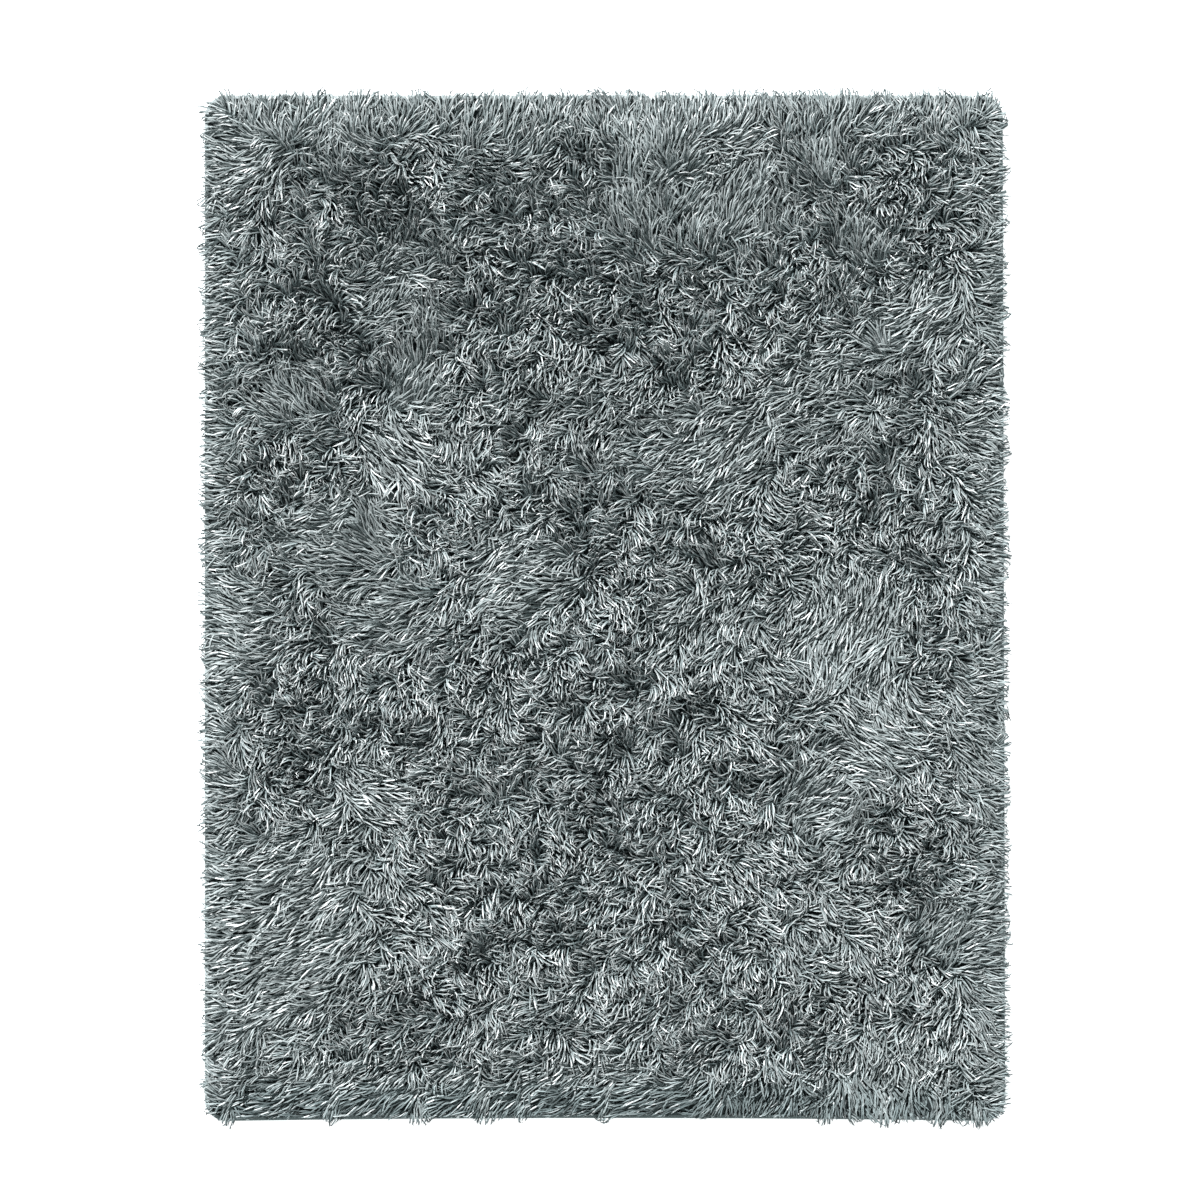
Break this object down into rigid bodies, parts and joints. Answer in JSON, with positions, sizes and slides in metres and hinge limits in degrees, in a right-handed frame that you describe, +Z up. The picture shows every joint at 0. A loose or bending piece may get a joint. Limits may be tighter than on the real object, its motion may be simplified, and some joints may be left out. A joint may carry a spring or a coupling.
{
  "type": "shag rug",
  "caption": "Rectangular shag rug that lies flat on a floor, with long yarn pile combed in many directions on a thin hemmed backing.",
  "frame": {"origin": "middle of the rug's outline, on the underside where it meets the floor", "axes": "+X across the rug, +Y along its length to the far end, +Z up out of the pile"},
  "size_m": [1.2702, 1.6176, 0.0391],
  "materials": {
    "pile_yarn": "soft satin polyester yarn, cool mid grey, lighter at the tips",
    "backing_cloth": "matt woven cloth, mid grey"
  },
  "bodies": {
    "root": {"backing": "backing_cloth", "pile": "pile_yarn"}
  },
  "joints": []
}
